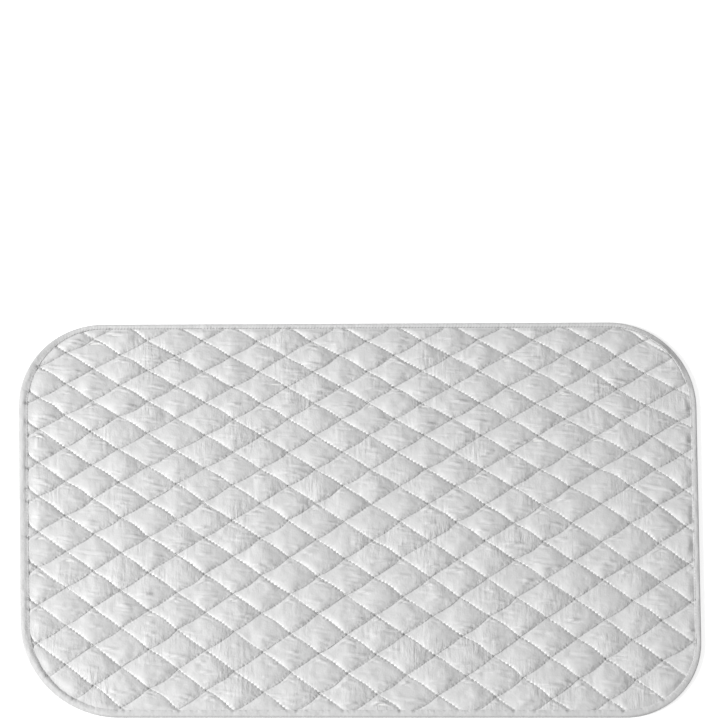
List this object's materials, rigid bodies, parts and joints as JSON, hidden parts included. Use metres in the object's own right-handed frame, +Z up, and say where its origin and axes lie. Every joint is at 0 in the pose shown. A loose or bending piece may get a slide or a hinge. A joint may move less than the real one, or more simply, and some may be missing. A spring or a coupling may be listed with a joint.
{
  "type": "ironing pad",
  "caption": "Quilted rectangular ironing pad with round corners: silver-coated diamond-quilted face, wadding, plain backing and a folded bound edge. Lies flat on a table.",
  "frame": {"origin": "middle of the underside, on the table", "axes": "+X along the length to the right, +Y to the far long edge, +Z up out of the silver face"},
  "size_m": [0.8441, 0.4955, 0.007],
  "materials": {
    "silver_face": "silver-coated cotton weave, soft sheen",
    "binding": "silver-coated folded strip, soft sheen",
    "backing": "plain off-white cotton weave, matte",
    "wadding": "white needled felt, matte",
    "thread": "grey sewing thread"
  },
  "bodies": {
    "root": {"backing_cover": "backing", "binding_thread": "thread", "edge_binding": "binding", "face_cover": "silver_face", "falling_quilting_thread_01": "thread", "falling_quilting_thread_02": "thread", "falling_quilting_thread_03": "thread", "falling_quilting_thread_04": "thread", "falling_quilting_thread_05": "thread", "falling_quilting_thread_06": "thread", "falling_quilting_thread_07": "thread", "falling_quilting_thread_08": "thread", "falling_quilting_thread_09": "thread", "falling_quilting_thread_10": "thread", "falling_quilting_thread_11": "thread", "falling_quilting_thread_12": "thread", "falling_quilting_thread_13": "thread", "falling_quilting_thread_14": "thread", "falling_quilting_thread_15": "thread", "falling_quilting_thread_16": "thread", "falling_quilting_thread_17": "thread", "falling_quilting_thread_18": "thread", "falling_quilting_thread_19": "thread", "falling_quilting_thread_20": "thread", "rising_quilting_thread_01": "thread", "rising_quilting_thread_02": "thread", "rising_quilting_thread_03": "thread", "rising_quilting_thread_04": "thread", "rising_quilting_thread_05": "thread", "rising_quilting_thread_06": "thread", "rising_quilting_thread_07": "thread", "rising_quilting_thread_08": "thread", "rising_quilting_thread_09": "thread", "rising_quilting_thread_10": "thread", "rising_quilting_thread_11": "thread", "rising_quilting_thread_12": "thread", "rising_quilting_thread_13": "thread", "rising_quilting_thread_14": "thread", "rising_quilting_thread_15": "thread", "rising_quilting_thread_16": "thread", "rising_quilting_thread_17": "thread", "rising_quilting_thread_18": "thread", "rising_quilting_thread_19": "thread", "rising_quilting_thread_20": "thread", "wadding": "wadding"}
  },
  "joints": []
}
